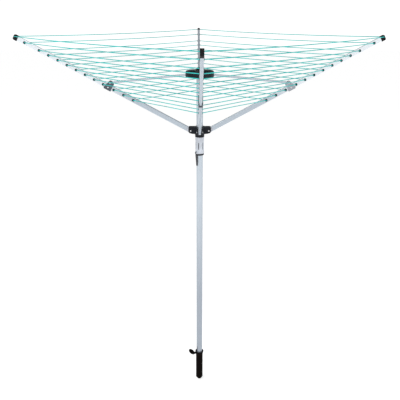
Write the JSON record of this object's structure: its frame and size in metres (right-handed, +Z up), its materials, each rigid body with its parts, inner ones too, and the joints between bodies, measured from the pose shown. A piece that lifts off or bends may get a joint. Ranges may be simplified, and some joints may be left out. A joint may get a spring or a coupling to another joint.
{
  "type": "rotary clothesline",
  "caption": "Umbrella-style rotary airer: mast in a lidded ground socket, four folding arms with struts on a sliding runner, and lines strung square between the arms.",
  "frame": {"origin": "on the mast's axis at ground level, where the socket's straight shank meets its flared rim", "axes": "+Z up along the mast, +X along the arm at the right of the open airer, -Y along the arm towards the viewer"},
  "size_m": [2.0194, 2.0194, 2.292],
  "materials": {
    "socket_plastic": "moulded, satin",
    "hub_plastic": "moulded, fine grain",
    "dark_nylon": "smooth nylon",
    "grey_plastic": "moulded, fine grain",
    "bracket_plastic": "moulded, satin",
    "lever_plastic": "moulded, satin",
    "guide_plastic": "smooth",
    "collar_plastic": "smooth, semi-gloss",
    "mast_aluminium": "pale blue-grey, drawn along its length",
    "arm_aluminium": "pale grey, drawn along its length",
    "steel": "zinc plated",
    "line_pvc": "smooth PVC over a core"
  },
  "bodies": {
    "socket": {"ground_socket": "socket_plastic", "lid_pin": "steel"},
    "lid": {"socket_lid": "socket_plastic"},
    "foot": {"foot_bearing": "dark_nylon"},
    "mast": {"mast_tube": "mast_aluminium", "top_hub": "hub_plastic", "hub_bolt": "steel", "strut_pivot_pins": "steel", "mast_cap": "grey_plastic"},
    "runner": {"runner_hub": "hub_plastic", "runner_collar": "collar_plastic", "glide_sleeve": "dark_nylon", "arm_pivot_pins": "steel", "lever_pin": "steel"},
    "lever": {"release_lever": "lever_plastic"},
    "arm_1": {"arm_tube_1": "arm_aluminium", "arm_root_1": "collar_plastic", "arm_cap_1": "grey_plastic", "line_guides_1": "guide_plastic", "strut_bracket_1": "bracket_plastic", "bracket_rivet_1": "steel", "strut_pin_1": "steel", "clothesline_1": "line_pvc"},
    "strut_1": {"strut_bar_1": "arm_aluminium", "strut_ends_1": "bracket_plastic"},
    "arm_2": {"arm_tube_2": "arm_aluminium", "arm_root_2": "collar_plastic", "arm_cap_2": "grey_plastic", "line_guides_2": "guide_plastic", "strut_bracket_2": "bracket_plastic", "bracket_rivet_2": "steel", "strut_pin_2": "steel", "clothesline_2": "line_pvc"},
    "strut_2": {"strut_bar_2": "arm_aluminium", "strut_ends_2": "bracket_plastic"},
    "arm_3": {"arm_tube_3": "arm_aluminium", "arm_root_3": "collar_plastic", "arm_cap_3": "grey_plastic", "line_guides_3": "guide_plastic", "strut_bracket_3": "bracket_plastic", "bracket_rivet_3": "steel", "strut_pin_3": "steel", "clothesline_3": "line_pvc"},
    "strut_3": {"strut_bar_3": "arm_aluminium", "strut_ends_3": "bracket_plastic"},
    "arm_4": {"arm_tube_4": "arm_aluminium", "arm_root_4": "collar_plastic", "arm_cap_4": "grey_plastic", "line_guides_4": "guide_plastic", "strut_bracket_4": "bracket_plastic", "bracket_rivet_4": "steel", "strut_pin_4": "steel", "clothesline_4": "line_pvc"},
    "strut_4": {"strut_bar_4": "arm_aluminium", "strut_ends_4": "bracket_plastic"}
  },
  "joints": [
    {"name": "lid_hinge", "type": "hinge", "parent": "socket", "child": "lid", "pos_m": [-0.026, 0, 0.009], "axis": [0, 1, 0], "range_deg": [0, 60]},
    {"name": "lift_out", "type": "slide", "parent": "socket", "child": "foot", "axis": [0, 0, 1], "range_m": [0, 0.25]},
    {"name": "mast_spin", "type": "hinge", "parent": "foot", "child": "mast", "pos_m": [0, 0, 0], "axis": [0, 0, 1], "continuous": true},
    {"name": "runner_slide", "type": "slide", "parent": "mast", "child": "runner", "axis": [0, 0, 1], "range_m": [-0.647, 0]},
    {"name": "lever_hinge", "type": "hinge", "parent": "runner", "child": "lever", "pos_m": [-0.0198, -0.0198, 1.4365], "axis": [0.7071, -0.7071, 0], "range_deg": [-100, 0]},
    {"name": "arm_fold_1", "type": "hinge", "parent": "runner", "child": "arm_1", "pos_m": [0.052, 0, 1.5655], "axis": [0, -1, 0], "range_deg": [0, 56.6], "deforming": ["clothesline_1"]},
    {"name": "strut_fold_1", "type": "hinge", "parent": "arm_1", "child": "strut_1", "pos_m": [0.49946, 0, 1.83586], "axis": [0, -1, 0], "range_deg": [-139.4, 0]},
    {"name": "arm_fold_2", "type": "hinge", "parent": "runner", "child": "arm_2", "pos_m": [0, 0.052, 1.5655], "axis": [1, 0, 0], "range_deg": [0, 56.6], "deforming": ["clothesline_2"]},
    {"name": "strut_fold_2", "type": "hinge", "parent": "arm_2", "child": "strut_2", "pos_m": [0, 0.49946, 1.83586], "axis": [1, 0, 0], "range_deg": [-139.4, 0]},
    {"name": "arm_fold_3", "type": "hinge", "parent": "runner", "child": "arm_3", "pos_m": [-0.052, 0, 1.5655], "axis": [0, 1, 0], "range_deg": [0, 56.6], "deforming": ["clothesline_3"]},
    {"name": "strut_fold_3", "type": "hinge", "parent": "arm_3", "child": "strut_3", "pos_m": [-0.49946, 0, 1.83586], "axis": [0, 1, 0], "range_deg": [-139.4, 0]},
    {"name": "arm_fold_4", "type": "hinge", "parent": "runner", "child": "arm_4", "pos_m": [0, -0.052, 1.5655], "axis": [-1, 0, 0], "range_deg": [0, 56.6], "deforming": ["clothesline_4"]},
    {"name": "strut_fold_4", "type": "hinge", "parent": "arm_4", "child": "strut_4", "pos_m": [0, -0.49946, 1.83586], "axis": [-1, 0, 0], "range_deg": [-139.4, 0]}
  ],
  "couplings": [
    {"joint": "arm_fold_1", "follows": "runner_slide", "rad_per_m": -1.5268},
    {"joint": "strut_fold_1", "follows": "runner_slide", "rad_per_m": 3.7604},
    {"joint": "arm_fold_2", "follows": "runner_slide", "rad_per_m": -1.5268},
    {"joint": "strut_fold_2", "follows": "runner_slide", "rad_per_m": 3.7604},
    {"joint": "arm_fold_3", "follows": "runner_slide", "rad_per_m": -1.5268},
    {"joint": "strut_fold_3", "follows": "runner_slide", "rad_per_m": 3.7604},
    {"joint": "arm_fold_4", "follows": "runner_slide", "rad_per_m": -1.5268},
    {"joint": "strut_fold_4", "follows": "runner_slide", "rad_per_m": 3.7604}
  ]
}
